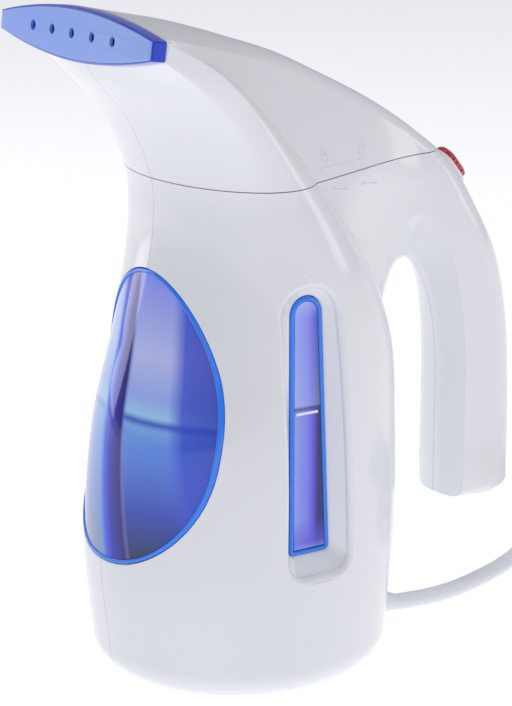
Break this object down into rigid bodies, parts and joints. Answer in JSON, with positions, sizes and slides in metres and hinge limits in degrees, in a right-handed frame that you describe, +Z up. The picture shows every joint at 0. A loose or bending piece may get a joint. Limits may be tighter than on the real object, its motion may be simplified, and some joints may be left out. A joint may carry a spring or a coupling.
{
  "type": "handheld garment steamer",
  "caption": "Jug-shaped handheld garment steamer with a twist-off nozzle head, blue tank windows, open hook handle and a free mains cord.",
  "frame": {"origin": "centre of the base cover's underside, on the surface the steamer stands on", "axes": "+Z up; -Y is the nozzle side and +Y the handle side; X = 0 is the plane of symmetry"},
  "size_m": [0.1276, 0.2772, 0.2284],
  "materials": {
    "white_gloss": "polished white ABS",
    "white_cord": "soft white PVC",
    "white_inner": "plain white polypropylene",
    "blue_window": "clear blue polycarbonate",
    "blue_plate": "satin blue nozzle plate",
    "red_lens": "clear red polycarbonate",
    "steel": "bright steel",
    "aluminium": "cast aluminium",
    "rubber": "grey silicone",
    "brass": "nickel-free brass",
    "ceramic": "cream ceramic sleeve",
    "brown_wire": "brown wire",
    "blue_wire": "blue wire"
  },
  "bodies": {
    "body": {"front_window": "blue_window", "side_window_right": "blue_window", "side_window_left": "blue_window", "strain_relief": "white_cord", "base_screw_1": "steel", "base_screw_2": "steel", "base_screw_3": "steel", "base_screw_4": "steel", "base_cover": "white_inner", "switch_frame": "white_gloss", "body_shell_right": "white_gloss", "body_shell_left": "white_gloss", "handle_end_cap": "white_gloss", "tank": "blue_window", "tank_gasket": "rubber", "heater_plate": "aluminium", "heating_element": "steel", "steam_dome": "white_inner", "thermostat": "steel", "thermal_fuse": "ceramic", "terminal_block": "white_inner", "live_lead": "brown_wire", "neutral_lead": "blue_wire", "cord_clamp": "white_inner", "clamp_screw_1": "steel", "clamp_screw_2": "steel", "body_deck": "white_inner", "cord_coil": "white_cord", "power_cord": "white_cord", "cord_tail": "white_cord", "plug_body": "white_cord", "plug_blade_1": "brass", "plug_blade_2": "brass"},
    "seal": {"mouth_seal": "rubber"},
    "head": {"head_shell_right": "white_gloss", "head_shell_left": "white_gloss", "head_floor": "white_inner", "bayonet_ring": "white_inner", "splash_baffle": "white_inner", "nozzle_plate": "blue_plate", "steam_duct": "white_inner", "nozzle_gasket": "rubber"},
    "switch": {"switch_rocker": "red_lens"}
  },
  "joints": [
    {"name": "head_lift", "type": "slide", "parent": "body", "child": "seal", "axis": [0, 0, 1], "range_m": [0, 0.09]},
    {"name": "head_twist", "type": "hinge", "parent": "seal", "child": "head", "pos_m": [0, -0.001, 0.1716], "axis": [0, 0, 1], "range_deg": [0, 24]},
    {"name": "switch_rock", "type": "hinge", "parent": "body", "child": "switch", "pos_m": [0, 0.0881, 0.1638], "axis": [1, 0, 0], "range_deg": [0, 7]}
  ]
}
